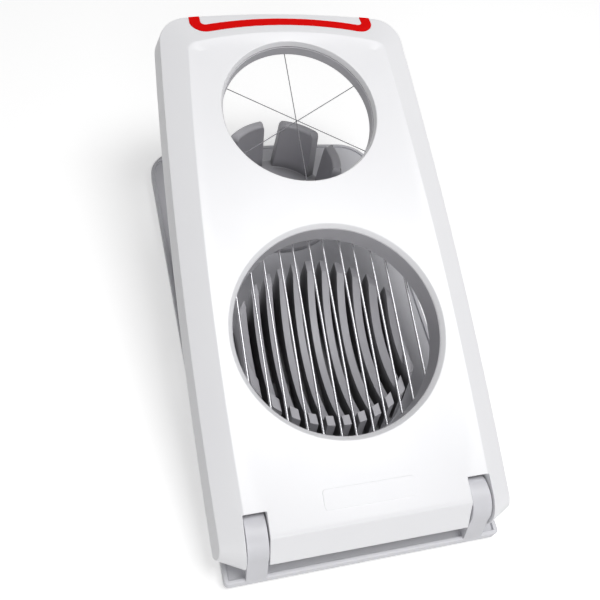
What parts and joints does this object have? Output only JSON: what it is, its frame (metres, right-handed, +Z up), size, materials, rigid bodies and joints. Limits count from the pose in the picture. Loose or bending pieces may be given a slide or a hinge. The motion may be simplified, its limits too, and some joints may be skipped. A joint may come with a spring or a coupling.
{
  "type": "egg slicer",
  "caption": "Hinged egg slicer with a window of parallel wires over a finned cradle and a window of crossing wires over a pronged wedge holder.",
  "frame": {"origin": "centre of the base's footprint on the surface that it stands on", "axes": "+Z up, +X along the hinge axis, +Y from the hinge to the thumb end"},
  "size_m": [0.0922, 0.1714, 0.069],
  "materials": {
    "white_abs": "polished white moulding",
    "light_grey_abs": "satin light grey moulding",
    "grey_abs": "satin grey moulding",
    "frame_grey": "satin grey moulding",
    "stainless": "drawn stainless wire",
    "plated_steel": "plated screw steel",
    "red_tpe": "satin soft plastic",
    "foot_tpe": "matt soft plastic"
  },
  "bodies": {
    "base": {"base_tray": "light_grey_abs", "slice_cradle": "grey_abs", "wedge_holder": "grey_abs", "foot_front_left": "foot_tpe", "foot_front_right": "foot_tpe", "foot_rear_left": "foot_tpe", "foot_rear_right": "foot_tpe", "cradle_screws": "plated_steel", "holder_screws": "plated_steel"},
    "lid": {"lid_cover": "white_abs", "accent_strip": "red_tpe", "slice_frame": "frame_grey", "slicing_wire": "stainless", "wire_anchor_screws": "plated_steel", "slice_frame_screws": "plated_steel", "wedge_frame": "frame_grey", "wedge_wire_left": "stainless", "wedge_wire_middle": "stainless", "wedge_wire_right": "stainless", "wedge_frame_screws": "plated_steel", "hinge_pin_left": "plated_steel", "hinge_pin_right": "plated_steel"}
  },
  "joints": [
    {"name": "lid_hinge", "type": "hinge", "parent": "base", "child": "lid", "pos_m": [0, -0.0759, 0.0124], "axis": [1, 0, 0], "range_deg": [-20, 77]}
  ]
}
